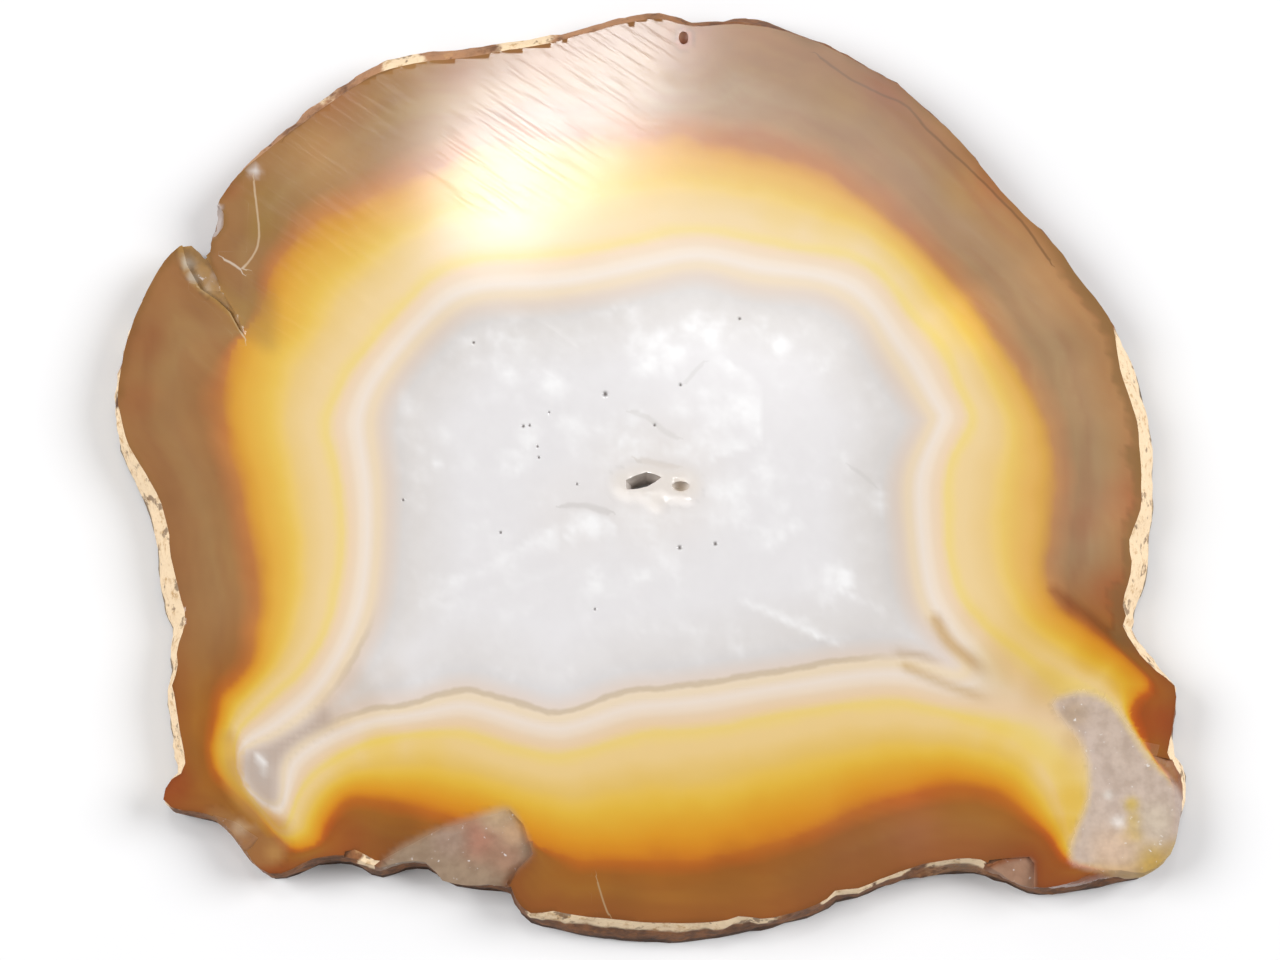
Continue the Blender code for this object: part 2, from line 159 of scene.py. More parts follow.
# Fine lines in the polished face: half width in mm, colour, strength and points in mm
fineLines = (
    (0.07, "#e2c8a8", 0.6, ((-24.9, 18), (-24.7, 16.3), (-24.45, 14.6), (-24.65, 13.3),
                            (-25.45, 12.1))),
    (0.08, "#e6d6c4", 0.7, ((-25.5, 12.1), (-26, 12.5), (-26.6, 12.8))),
    (0.07, "#e6d2b4", 0.8, ((-28.2, 11), (-26.6, 9.9), (-25.7, 8.5), (-25.2, 7.7))),
    (0.06, "#bfa47c", 0.6, ((-2.6, -26.3), (-2.2, -27.5), (-1.9, -28.3))),
    (0.09, "#6e4a2c", 0.6, ((11, 26.5), (13, 25), (15, 23.95), (16.7, 23.1), (18, 21.5),
                            (20.3, 19.2), (22.7, 16.7), (24, 15.2), (25.6, 12.8))),
    (0.08, "#7a5230", 0.5, ((-23, 21), (-19, 24.2), (-16, 25.7))),
    (0.22, "#c4bfbb", 0.4, ((-4.9, -3.1), (-3.6, -3.1), (-2.2, -3.5))),
    (0.20, "#cfcac6", 0.35, ((-0.6, 2.9), (0.4, 2.5), (1.4, 1.6), (2.0, 1.3))),
    (0.15, "#cfccca", 0.35, ((2.6, 4.9), (3.1, 5.4), (3.6, 6.0))),
    (0.24, "#d0c4b8", 0.4, ((-0.2, -0.1), (0.9, -0.35), (1.9, -0.6))),
    (0.15, "#ccc8c5", 0.35, ((13.0, -0.6), (13.9, -1.3), (14.3, -1.7))),
)

# Soft darker wisps that fade out towards their last point: half width in mm, factors for red,
# green and blue, and points in mm
wisps = (
    (0.75, (0.74, 0.62, 0.46), ((18.1, -10.2), (18.8, -11.5), (20.1, -12.6), (21.2, -13.5), (22, -13.8))),
    (0.60, (0.80, 0.71, 0.55), ((16.2, -13.1), (17.5, -13.7), (19.2, -14.4), (20.8, -14.9), (22, -15.2))),
    (0.45, (0.80, 0.75, 0.66), ((15.7, -12.2), (17.1, -12.4), (18.5, -12.9), (19.2, -13.2))),
    (0.60, (0.72, 0.62, 0.56), ((25.3, -8.3), (26.9, -9.5), (28.8, -11.0), (30.8, -12.6))),
)

# Crisp edges of the white clouds in the core, white on their left: reach in mm, strength, points
cloudEdges = (
    (1.3, 0.7, ((-4.4, -4.0), (-6.5, -4.8), (-9.4, -6.7), (-11.8, -7.6))),
    (1.0, 0.5, ((-5.5, -7.0), (-8.5, -7.9), (-11.8, -9.2))),
    (0.8, 1.0, ((6.4, -9.4), (8, -10.1), (9.9, -11.0), (11.7, -11.8))),
    (0.6, 0.7, ((12.6, -8.8), (13.8, -9.3), (14.7, -9.8))),
    (1.6, 1.0, ((5.0, 0.1), (6.5, 0.6), (7.3, 1.4), (7.4, 3.5), (7.0, 5.1), (5.8, 6.0))),
    (1.4, 0.9, ((-1.9, -4.2), (-2.4, -3.7), (-4.5, -3.4), (-4.7, -4.8))),
)

# White clouds in the core: x, y, radius in mm and strength
clouds = (
    (1, 6.3, 2.2, 0.8), (6.4, 3.2, 1.5, 0.7), (4.2, 1.3, 1.3, 0.6), (-3.3, -4.2, 1.0, 0.9),
    (-7.3, 1.6, 1.0, 0.7), (-8.2, -0.3, 0.9, 0.6), (8.6, 7.2, 0.7, 0.9), (10.9, 6.1, 0.9, 0.9),
    (-2.8, -8.1, 1.3, 0.6), (7.7, -4.9, 1.1, 0.8), (9.8, -4.6, 0.7, 0.6), (12.1, -7.7, 0.9, 1.0),
    (9.8, -10.6, 0.8, 0.5), (-9, -6.6, 1.3, 0.4), (-6, -5, 1.2, 0.4), (0, -10.5, 1.6, 0.4),
    (-0.5, -7.3, 0.8, 0.6), (11.8, -1.2, 1.8, 0.5), (6, -2.4, 2.4, 0.5), (-23.2, -19, 0.4, 1.0),
    (-8, 5.2, 2.4, 0.4), (-12, -9.5, 2.2, 0.3), (3.5, 8.6, 1.4, 0.4), (-10.5, 4.2, 0.5, 0.6),
    (-12.8, -0.4, 0.4, 0.8), (2.4, 3.6, 2.0, 0.4), (0.6, -1.4, 4.0, 0.5),
)

# Soft tints over the bands: factors for red, green and blue, whether they stay outside the orange
# line, and spots as x, y, radius in mm and strength
castSpots = {
    "rust": ((1.0, 0.6, 0.56), True, (
        (29.8, -2.6, 1.6, 0.4), (28.7, -8.6, 1.8, 0.6), (27.3, -4, 1.2, 0.3), (31.2, -16.4, 1.6, 1.0),
        (31, -14.6, 1.2, 0.7), (-28.7, -20.6, 1.5, 0.8), (24.8, -25, 2.6, 0.6), (28.2, -26, 1.6, 0.5),
        (-31.2, 7.4, 1.4, 0.3), (-31.6, 3.6, 1.2, 0.3), (-22.6, -25.4, 1.6, 0.6),
        (-18.3, -23.6, 1.6, 0.5), (15.4, 24.4, 1.6, 0.4), (22, 17.8, 1.4, 0.3), (-20, 23.2, 1.8, 0.3),
        (3, 28.4, 1.4, 0.4), (-12, 25.6, 1.5, 0.3), (-26.6, 17.6, 0.9, 0.5), (16.5, -20.9, 2.2, 0.3))),
    "shade": ((0.72, 0.66, 0.6), True, (
        (25.8, -10.2, 1.2, 0.7), (27.6, -12.0, 1.2, 0.8), (29.4, -13.6, 1.2, 0.8), (12, -24.6, 3.0, 0.3),
        (-14.5, -24, 1.6, 0.6), (0, 28.3, 1.0, 0.3), (-24.5, -22.2, 1.0, 0.2))),
    "olive": ((0.95, 0.95, 0.62), True, (
        (-24.2, 15, 1.2, 0.8), (-24.5, 17, 1.2, 0.6), (12.5, 23.6, 1.8, 0.5), (20, 17.6, 1.8, 0.4),
        (-16, 23.4, 2.0, 0.4), (31.5, -18.5, 1.0, 0.5))),
    "amber": ((0.92, 0.80, 0.36), False, (
        (26.2, -21.2, 1.3, 0.9), (25.9, -22.8, 1.1, 1.0), (26.0, -19.4, 1.1, 0.5), (27.5, -12.6, 1.1, 0.7),
        (29.4, -13.9, 1.1, 0.9))),
    "straw": ((0.94, 0.88, 0.62), False, (
        (22.6, -12.4, 2.4, 0.9), (24.6, -14.0, 1.8, 0.8), (20.6, -10.4, 1.4, 0.4))),
    # pale: painted highlight, with the base made paler and bluer where the lamp's glare lies
    "pale": ((0.93, 0.96, 1.5), False, (
        (-9.5, 18.0, 3.6, 0.9), (-6, 20.5, 3.2, 0.8), (-12.5, 16.2, 2.6, 0.6))),
    "mauve": ((1.05, 1.10, 1.8), True, (
        (12, -24, 4.5, 0.8), (18.5, -23.5, 4.0, 0.9))),
    "warm": ((0.985, 0.955, 0.915), False, (
        (0.8, -1.6, 4.2, 1.0), (-4, -3.5, 3.0, 0.5))),
    "tan": ((0.86, 0.80, 0.70), False, (
        (26.4, -17.6, 0.9, 0.8), (24.4, -14.5, 1.6, 0.5), (21.5, -13.6, 1.6, 0.4), (25.6, -15.6, 1.0, 0.6))),
    "lemon": ((1.0, 0.97, 0.6), False, (
        (-15.9, -18.3, 1.2, 0.9), (-13, -18.5, 1.2, 0.6), (-18, -19.2, 1.0, 0.6), (20, -16.9, 1.2, 0.5),
        (21.6, -17.6, 1.2, 0.9), (23, -18.7, 1.2, 0.9), (17.5, 10.8, 1.6, 0.5), (19.5, 8.2, 1.6, 0.6),
        (15.8, 13.0, 1.4, 0.6), (12.2, 14.9, 1.6, 0.6), (8.6, 15.7, 1.4, 0.5))),
    "dusk": ((0.88, 0.82, 0.75), False, (
        (-17.3, -14.8, 1.6, 1.0), (-18.7, -15.9, 1.3, 1.0), (-15.8, -13.9, 1.4, 0.5))),
    "glow": ((1.17, 1.17, 1.15), False, (
        (24.6, 11, 3.0, 0.9), (21.3, 9.3, 2.6, 0.9), (19, 8.8, 2.0, 0.5), (21.5, 14, 3.0, 0.5),
        (20.6, 17.4, 1.8, 1.0), (-20.2, 19.6, 1.8, 0.9), (28, 4, 2.4, 0.7))),
    "dusty": ((1.0, 1.05, 2.2), False, (
        (15.7, -22.3, 2.4, 0.8), (12.5, -22.8, 2.2, 0.5))),
}

# Cream crust on the rind: x, y, radius in mm and strength
crustSpots = (
    (-29.5, -19.5, 3.0, 0.7), (-29.5, -14, 3.5, 1.0), (-30, -9, 3.5, 1.0), (-31, -4, 3.5, 1.0),
    (-33, 0.5, 3.0, 0.9), (-34, 4.0, 2.4, 0.5), (31.5, 5, 3.5, 1.0), (32, 1, 3.0, 1.0),
    (32, -3, 3.2, 1.0), (31, -7, 3.0, 1.0), (30.5, -10.5, 2.5, 1.0), (33, -13.5, 2.0, 0.8),
    (33.5, -19.5, 2.6, 0.9), (33.5, -23, 1.6, 0.4), (-4, -29, 3.2, 0.8), (1, -29.5, 3.2, 0.9),
    (5.5, -29.3, 2.6, 0.8), (12.7, -27.3, 1.6, 1.0), (15.5, -26.3, 1.3, 0.9),
    (19.2, -25.2, 1.8, 0.9), (26.8, -26.4, 1.0, 1.0), (-16.3, -25.8, 1.0, 0.9),
    (-32.5, 8.5, 2.2, 0.6), (-31, 12, 1.8, 0.5), (-20.5, 24, 1.6, 0.4), (-8, 27.2, 3.0, 0.5),
    (-15.5, 26, 1.6, 0.6),
)

# Pinholes in the polished face: x, y and radius in mm
pinholes = (
    (-2.4, 4.1, 0.16), (-7.5, 2.0, 0.1), (-7.1, 2.05, 0.09), (-6.6, 0.7, 0.08), (-6.5, 0.0, 0.09),
    (-4.1, -1.7, 0.08), (-10.7, 7.4, 0.08), (6, 9, 0.08), (-8.8, -4.8, 0.09), (2.3, -5.7, 0.13),
    (4.5, -5.45, 0.12), (-14.9, -2.75, 0.08), (0.7, 2.1, 0.09), (2.3, 4.7, 0.09),
    (-5.9, 2.9, 0.06), (-2.9, -9.6, 0.08),
)


def tint(code):
    # linear colour of a hex code
    parts = [int(code[index:index + 2], 16) / 255 for index in (1, 3, 5)]
    return [part / 12.92 if part <= 0.04045 else ((part + 0.055) / 1.055) ** 2.4 for part in parts] + [1.0]


def rise(values, low, high):
    # smooth step from 0 at low to 1 at high
    share = np.clip((values - low) / (high - low), 0, 1)
    return share * share * (3 - 2 * share)


def smoothLine(points, closed, steps=4):
    # a smooth curve through given points
    count = len(points)
    line = []
    for index in range(count if closed else count - 1):
        around = []
        for shift in (-1, 0, 1, 2):
            at = (index + shift) % count if closed else min(max(index + shift, 0), count - 1)
            around.append(np.array(points[at], float))
        p, q, r, s = around
        for step in range(steps):
            t = step / steps
            bend = (2 * p - 5 * q + 4 * r - s) * t * t
            twist = (3 * q - p - 3 * r + s) * t ** 3
            line.append(0.5 * (2 * q + (r - p) * t + bend + twist))
    if not closed:
        line.append(np.array(points[-1], float))
    return np.array(line)


def lineGap(flat, points, closed):
    # distance from a line: positive inside a closed one, or on the left of an open one
    line = smoothLine(points, closed)
    ends = np.roll(line, -1, axis=0) if closed else line[1:]
    starts = line if closed else line[:-1]
    nearest = np.full(len(flat), 1e9)
    side = np.ones(len(flat))
    crossings = np.zeros(len(flat), int)
    for start, end in zip(starts, ends):
        along = end - start
        offset = flat - start
        share = np.clip(offset @ along / (along @ along), 0, 1)
        gap = np.hypot(*(offset - share[:, None] * along).T)
        closer = gap < nearest
        nearest[closer] = gap[closer]
        turn = along[0] * offset[:, 1] - along[1] * offset[:, 0]
        side[closer] = np.where(turn[closer] < 0, -1, 1)
        if closed:
            spans = (start[1] > flat[:, 1]) != (end[1] > flat[:, 1])
            reach = start[0] + (flat[:, 1] - start[1]) * along[0] / (along[1] or 1e-9)
            crossings += spans & (flat[:, 0] < reach)
    return nearest * (np.where(crossings % 2 == 1, 1, -1) if closed else side)


def spotShare(flat, x, y, radius):
    # 1 in the middle of a soft spot, and near 0 a little past its radius
    reach = np.hypot(flat[:, 0] - x, flat[:, 1] - y) / radius
    return np.exp(-reach ** 3)


def strongest(flat, spots):
    # the strongest of several soft spots at each point
    total = np.zeros(len(flat))
    for x, y, radius, strength in spots:
        total = np.maximum(total, strength * spotShare(flat, x, y, radius))
    return total


def noiseAt(flat, grain, layers, shift=0.0):
    # soft noise between about -1 and 1, with the grain in mm
    return np.array([noise.fractal(Vector((x / grain, y / grain, shift)), 0.8, 2.0, layers) for x, y in flat])


def keepValue(mesh, name, values):
    # a number at every corner
    layer = mesh.attributes.new(name, "FLOAT", "POINT")
    layer.data.foreach_set("value", np.asarray(values, np.float32))


def keepColour(mesh, name, colours, shares=None):
    # colour of every corner, with how strongly it covers in the fourth place
    full = np.ones((len(colours), 4), np.float32)
    full[:, :3] = colours
    if shares is not None:
        full[:, 3] = shares
    layer = mesh.attributes.new(name, "FLOAT_COLOR", "POINT")
    layer.data.foreach_set("color", full.ravel())


def places(mesh):
    # the corners' places in metres
    values = np.empty(len(mesh.vertices) * 3, np.float32)
    mesh.vertices.foreach_get("co", values)
    return values.reshape(-1, 3).astype(float)


def onDrawing(corners):
    return corners[:, :2] / mm + np.array(drawingMiddle)


def deselectAll():
    if bpy.context.object and bpy.context.object.mode == "EDIT":
        bpy.ops.object.mode_set(mode="OBJECT")
    bpy.ops.object.select_all(action="DESELECT")


def activate(thing):
    deselectAll()
    thing.select_set(True)
    bpy.context.view_layer.objects.active = thing


print("stage: the slice")

sliceShape = {
    "gridStep": 0.36 * mm,
    "blockMargin": 4 * mm,
    "mergeWithin": 0.001 * mm,
    "faceDrop": 0.02 * mm,      # the polished face lies this far inside the box
    "faceSkin": 0.03 * mm,      # what lies closer to a flat side than this belongs to it
    "sameHeight": 0.001 * mm,
    "wallStep": 0.42 * mm,
    "holeStep": 0.06 * mm,
    "holeReach": 0.28,          # in mm, past a pinhole's radius
    "holeDepth": 0.08 * mm,
    "holeTop": 0.1 * mm,
    "splitRounds": 3,
    "wallSlope": 0.72,
    "breakHeight": 0.9 * mm,
    "rindGrain": 0.55 * mm,
    "rindDepth": 0.13 * mm,
    "breakGrain": 0.6 * mm,
    "breakDepth": 0.07 * mm,
    "sugarGrain": 0.5 * mm,
    "sugarDepth": 0.08 * mm,
    "rimGrain": 0.8 * mm,
    "rimDepth": 0.08 * mm,
    "grainLayers": 3,
    "leastWeight": 0.01,
    "edgeAngle": 38,
}


def makeGridBlock(low, high):
    # block whose top and bottom carry a fine grid, a little thinner than the slab
    spec = sliceShape
    width = high.x - low.x + spec["blockMargin"]
    depth = high.y - low.y + spec["blockMargin"]
    deselectAll()
    bpy.ops.mesh.primitive_grid_add(
        x_subdivisions=round(width / spec["gridStep"]), y_subdivisions=round(depth / spec["gridStep"]),
        size=1, location=(0, 0, high.z - spec["faceDrop"]))
    block = bpy.context.object
    bpy.ops.object.mode_set(mode="EDIT")
    bpy.ops.transform.resize(value=(width, depth, 1))
    bpy.ops.mesh.extrude_region_move(
        TRANSFORM_OT_translate={"value": (0, 0, low.z - high.z + 2 * spec["faceDrop"])})
    bpy.ops.mesh.select_all(action="SELECT")
    bpy.ops.mesh.normals_make_consistent(inside=False)
    bpy.ops.object.mode_set(mode="OBJECT")
    bpy.ops.object.transform_apply(location=True, rotation=True, scale=True)
    return block


def makeSlice():
    # the slab with a fine grid on both flat sides; returns it with the wall for measuring
    spec = sliceShape
    low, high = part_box("agate_slice")
    piece = bpy.data.objects.new("polishedSlice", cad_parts["agate_slice"].data.copy())
    bpy.context.collection.objects.link(piece)
    activate(piece)
    bpy.ops.object.mode_set(mode="EDIT")
    bpy.ops.mesh.select_all(action="SELECT")
    bpy.ops.mesh.remove_doubles(threshold=spec["mergeWithin"])
    bpy.ops.mesh.customdata_custom_splitnormals_clear()
    bpy.ops.object.mode_set(mode="OBJECT")
    wall = BVHTree.FromPolygons(
        [corner.co[:] for corner in piece.data.vertices],
        [list(face.vertices) for face in piece.data.polygons if abs(face.normal.z) < spec["wallSlope"]])
    block = makeGridBlock(low, high)
    activate(piece)
    cut = piece.modifiers.new("fineGrid", "BOOLEAN")
    cut.operation = "INTERSECT"
    cut.solver = "MANIFOLD"
    cut.object = block
    bpy.ops.object.modifier_apply(modifier=cut.name)
    bpy.data.objects.remove(block, do_unlink=True)
    splitEdges(piece, (low.z + spec["faceDrop"], high.z - spec["faceDrop"]))
    return piece, wall


def splitEdges(piece, flatHeights):
    # splits the long edges that lie in neither flat side, and those round the pinholes
    spec = sliceShape
    close = spec["sameHeight"]
    mesh = piece.data
    for _ in range(spec["splitRounds"]):
        corners = places(mesh)
        ends = np.empty(len(mesh.edges) * 2, np.int32)
        mesh.edges.foreach_get("vertices", ends)
        start, end = corners[ends[0::2]], corners[ends[1::2]]
        length = np.linalg.norm(end - start, axis=1)
        chosen = length > spec["wallStep"]
        for height in flatHeights:
            chosen &= (np.abs(start[:, 2] - height) > close) | (np.abs(end[:, 2] - height) > close)
        middle = onDrawing((start + end) / 2)
        upper = (start[:, 2] + end[:, 2]) / 2 > flatHeights[1] - close
        for x, y, radius in pinholes:
            near = np.hypot(middle[:, 0] - x, middle[:, 1] - y) < radius + spec["holeReach"]
            chosen |= near & upper & (length > spec["holeStep"])
        activate(piece)
        mesh.vertices.foreach_set("select", np.zeros(len(mesh.vertices), bool))
        mesh.polygons.foreach_set("select", np.zeros(len(mesh.polygons), bool))
        mesh.edges.foreach_set("select", chosen)
        bpy.ops.object.mode_set(mode="EDIT")
        bpy.ops.mesh.select_mode(type="EDGE")
        bpy.ops.mesh.subdivide(number_cuts=1)
        bpy.ops.mesh.select_all(action="SELECT")
        bpy.ops.mesh.quads_convert_to_tris()
        bpy.ops.object.mode_set(mode="OBJECT")


# Distances in mm, and how far noise shifts the outer bands
banding = {
    "rindLeast": 0.02,
    "least": 0.01,
    "coreReach": 5,
    "drift": 0.04,
    "driftEnd": 2.2,        # as a band value
    "driftGrain": 3.0,
}


def bandValues(gaps, rindGap, drift):
    # 0 at the rind, 1 at the orange line, 2 at the yellow one, 3 at the core's edge and 4 well inside
    spec = banding
    outer = np.maximum(rindGap, spec["rindLeast"])
    band = outer / (outer + np.abs(gaps["orange"]) + spec["least"])
    order = ("orange", "yellow", "core")
    for level, (name, after) in enumerate(zip(order, order[1:] + (None,)), 1):
        gap = gaps[name]
        if after:
            inner = gap / (gap + np.abs(gaps[after]) + spec["least"])
        else:
            inner = np.minimum(gap / spec["coreReach"], 1)
        band = np.where(gap > 0, level + inner, band)
    return band + drift * spec["drift"] * (band < spec["driftEnd"])


# Where the soft tints start and end, in mm on the drawing or as band values, and their strengths
tints = {
    "layerGrain": 9,
    "layersPerMm": 1.1,
    "layerRoughness": 0.9,
    "layerCount": 3,
    # low: painted shade towards the bottom, with the outer bands darker and deeper in colour and the core a
    # little lighter
    "low": (9, 16.5),
    "lowShadeTilt": 0.3,
    "lowShadeBend": 15,
    "right": (14, 23),
    "top": (11, 19),
    "topStart": (-9, 1),
    "topFade": (6, 12),
    "topFadeShare": 0.6,
    "sidesMiddle": 1,
    "sides": (13, 18),
    "sidesFade": (9, 15),
    "sidesFadeShare": 0.6,
    "sidesLift": 0.09,
    "bandPlaces": (0, 0.9, 1.2, 1.45, 1.65, 1.85, 2.5, 3.0),
    "lowShadeFactors": ((0.93, 1.04, 1.0, 1.01, 1.01, 1.04, 1.02, 1.12),
                   (0.64, 0.73, 0.80, 0.94, 0.95, 1.0, 0.99, 1.14),
                   (0.31, 0.14, 0.24, 0.50, 0.64, 0.84, 0.96, 1.18)),
    "rightFactors": ((1.30, 0.96, 1.0, 1.0, 1.0, 1.0, 1.0, 1.0),
                     (1.34, 1.26, 1.06, 1.05, 1.0, 1.0, 1.0, 1.0),
                     (1.50, 2.00, 2.10, 1.50, 1.1, 1.0, 1.0, 1.0)),
    "mauve": (1.15, 1.35, 2.0),
    "mauveStart": (0.35, 0.6),
    "mauveEnd": (0.78, 0.93),
    "outerEnd": (0.95, 1.15),
    "topLeftX": (8, 14),
    "topLeftY": (11, 17),
    "topLeftLift": (0.14, 0.24, 0.30),
    "streaks": (0.07, 0.15, 0.14),
    "cloudy": 0.10,
    "cloudyGrain": 4.5,
    "cloudyShift": 3.0,
    "wispFade": (0.3, 2.2),
}


def layerNoise(flat, rindGap):
    # streaks that follow the rim, finer across than along it
    spec = tints
    grain, turns = spec["layerGrain"], spec["layersPerMm"]
    spots = [Vector((x / grain, y / grain, gap * turns)) for x, y, gap in zip(*flat.T, rindGap)]
    rough, count = spec["layerRoughness"], spec["layerCount"]
    return np.array([noise.fractal(spot, rough, 2.0, count) for spot in spots])


def castColours(flat, band, rindGap, cloudy):
    # soft tints that change from side to side of the slab, with painted shade towards the bottom
    spec = tints
    x, y = flat.T
    # low: painted shade, growing towards the bottom of the slab
    low = rise(spec["lowShadeTilt"] * np.maximum(x - spec["lowShadeBend"], 0) - y, *spec["low"])
    right = rise(x, *spec["right"]) * (1 - low)
    top = rise(y, *spec["top"]) * rise(x, *spec["topStart"])
    top = top * (1 - spec["topFadeShare"] * rise(x, *spec["topFade"]))
    mauve = top * rise(band, *spec["mauveStart"]) * (1 - rise(band, *spec["mauveEnd"]))
    outer = 1 - rise(band, *spec["outerEnd"])
    topLeft = rise(-x, *spec["topLeftX"]) * rise(y, *spec["topLeftY"]) * outer
    layers = layerNoise(flat, rindGap)
    cast = np.empty((len(flat), 3))
    for channel in range(3):
        tone = 1 + low * (np.interp(band, spec["bandPlaces"], spec["lowShadeFactors"][channel]) - 1)
        tone *= 1 + right * (np.interp(band, spec["bandPlaces"], spec["rightFactors"][channel]) - 1)
        tone *= 1 + mauve * (spec["mauve"][channel] - 1)
        streaks = outer * layers * spec["streaks"][channel]
        cast[:, channel] = tone * (1 + topLeft * spec["topLeftLift"][channel] + streaks)
    sides = rise(np.abs(x - spec["sidesMiddle"]), *spec["sides"]) * (1 - low)
    sides = sides * (1 - spec["sidesFadeShare"] * rise(y, *spec["sidesFade"]))
    cast *= 1 + (cloudy * spec["cloudy"] * outer + spec["sidesLift"] * sides)[:, None]
    for halfWidth, factors, points in wisps:
        share = 1 - rise(np.abs(lineGap(flat, points, False)), 0.0, halfWidth)
        share *= rise(np.hypot(*(flat - points[-1]).T), *spec["wispFade"])
        cast *= 1 + share[:, None] * (np.array(factors) - 1)
    for factors, outerOnly, spots in castSpots.values():
        share = np.minimum(strongest(flat, spots), 1) * (outer if outerOnly else 1)
        cast *= 1 + share[:, None] * (np.array(factors) - 1)
    return cast


# The greenish strip along the right rim, in mm
rimStrip = {
    "colour": "#7f6238",
    "share": 0.55,
    "fromX": (24, 27),
    "fromY": (-13, -11),
    "width": (0.6, 0.95),
    "waver": 0.35,
    "waverGrain": 1.1,
}
# painted shade: the dark colour inside the pinholes
pinholeShade = {
    "colour": "#43362c",
    "share": 0.85,
    "above": 1 * mm,
}


def patchColours(flat, gaps, corners):
    # colour and share of the broken and changed places, the painted shade in the pinholes and the strip at
    # the rim
    tones = np.zeros((len(flat), 3))
    shares = np.zeros(len(flat))
    for name, (_, edge, colour, most, spots) in patches.items():
        share = most * rise(gaps[name], *edge)
        tone = np.tile(tint(colour)[:3], (len(flat), 1))
        for x, y, radius, spotColour in spots:
            near = spotShare(flat, x, y, radius)[:, None]
            tone += near * (np.array(tint(spotColour)[:3]) - tone)
        over = share > shares
        tones[over] = tone[over]
        shares[over] = share[over]
    spec = rimStrip
    strip = spec["share"] * rise(flat[:, 0], *spec["fromX"]) * rise(flat[:, 1], *spec["fromY"])
    waver = spec["waver"] * noiseAt(flat, spec["waverGrain"], 3)
    strip *= 1 - rise(gaps["rind"] + waver, *spec["width"])
    over = strip > shares
    tones[over] = tint(spec["colour"])[:3]
    shares[over] = strip[over]
    spec = pinholeShade
    upper = corners[:, 2] > spec["above"]
    for x, y, radius in pinholes:
        share = spec["share"] * spotShare(flat, x, y, radius) * upper
        over = share > shares
        tones[over] = tint(spec["colour"])[:3]
        shares[over] = share[over]
    return tones, shares


# The tan line along the core's lower edge, and how far from a line its colour reaches, in mm
coreLine = {
    "colour": "#bda887",
    "share": 0.5,
    "shift": 0.02,
    "halfWidth": 0.22,
    "reach": (0.6, 1.0),
    "low": (9, 13),
    "middle": -2,
    "ends": (14, 19),
    "fineReach": (0.4, 0.8),
    "none": 99.0,           # where no line is near
}


def lineValues(flat, coreGap):
    # signed distance from the nearest fine line in half widths, its colour and strength
    spec = coreLine
    tones = np.tile(tint(spec["colour"])[:3], (len(flat), 1))
    shares = spec["share"] * rise(-flat[:, 1], *spec["low"]) * (1 - rise(np.abs(coreGap), *spec["reach"]))
    shares = shares * (1 - rise(np.abs(flat[:, 0] - spec["middle"]), *spec["ends"]))
    value = np.where(shares > 0, (coreGap + spec["shift"]) / spec["halfWidth"], spec["none"])
    for halfWidth, colour, strength, points in fineLines:
        gap = lineGap(flat, points, False)
        share = strength * (1 - rise(np.abs(gap), *spec["fineReach"]))
        over = (np.abs(gap / halfWidth) < np.abs(value)) & (share > 0)
        value[over] = (gap / halfWidth)[over]
        tones[over] = tint(colour)[:3]
        shares[over] = share[over]
    return value, tones, shares


# Noise as grain in mm, layers and shift, edges in mm, and shares of white
frosting = {
    "soft": (3.2, 4, 7.0),
    "softShare": 0.5,
    "mottle": (1.3, 3, 11.0),
    "mottleShare": 0.22,
    "cloudShare": 0.8,
    "cloudMottle": 0.25,
    "least": 0.12,
    "range": 0.8,
    "full": 0.9,
    "edgeWaver": 0.1,
    "edgeShare": 0.7,
    "edgeSoft": 0.4,
    "whiteEdge": (-0.18, 0.18),
    "darkEdge": (-0.15, 0.15),
    "edgeTop": 0.2,
    "darkReach": 1.2,
    "darkShare": 0.8,
    "coreEdge": (0.3, 1.6),
    "mouthEdge": (-1.2, -0.2),
    "mouthShare": 0.5,
    "rimSpot": (-24.9, 18.7, 0.4),      # the one white spot outside the core
    "rimSpotShare": 0.5,
}


def frostValues(flat, coreGap, mouthGap):
    # white clouds of the core, with crisp edges on one side
    spec = frosting
    soft = noiseAt(flat, *spec["soft"])
    mottled = noiseAt(flat, *spec["mottle"])
    frost = strongest(flat, clouds) * (spec["cloudShare"] + spec["cloudMottle"] * mottled)
    frost = frost + soft * spec["softShare"] + mottled * spec["mottleShare"]
    frost = spec["least"] + rise(frost, 0.0, spec["full"]) * spec["range"]
    for reach, strength, points in cloudEdges:
        gap = lineGap(flat, points, False) + spec["edgeWaver"] * mottled
        white = strength * (spec["edgeShare"] + spec["edgeSoft"] * soft)
        white = white * rise(gap, *spec["whiteEdge"]) * (1 - rise(gap, spec["edgeTop"], reach))
        frost = np.maximum(frost, white)
        dark = rise(-gap, *spec["darkEdge"]) * (1 - rise(-gap, spec["edgeTop"], spec["darkReach"]))
        frost *= 1 - spec["darkShare"] * strength * dark
    frost = frost * rise(coreGap, *spec["coreEdge"])
    frost = frost * (1 - spec["mouthShare"] * rise(mouthGap, *spec["mouthEdge"]))
    return np.maximum(frost, spotShare(flat, *spec["rimSpot"]) * spec["rimSpotShare"])


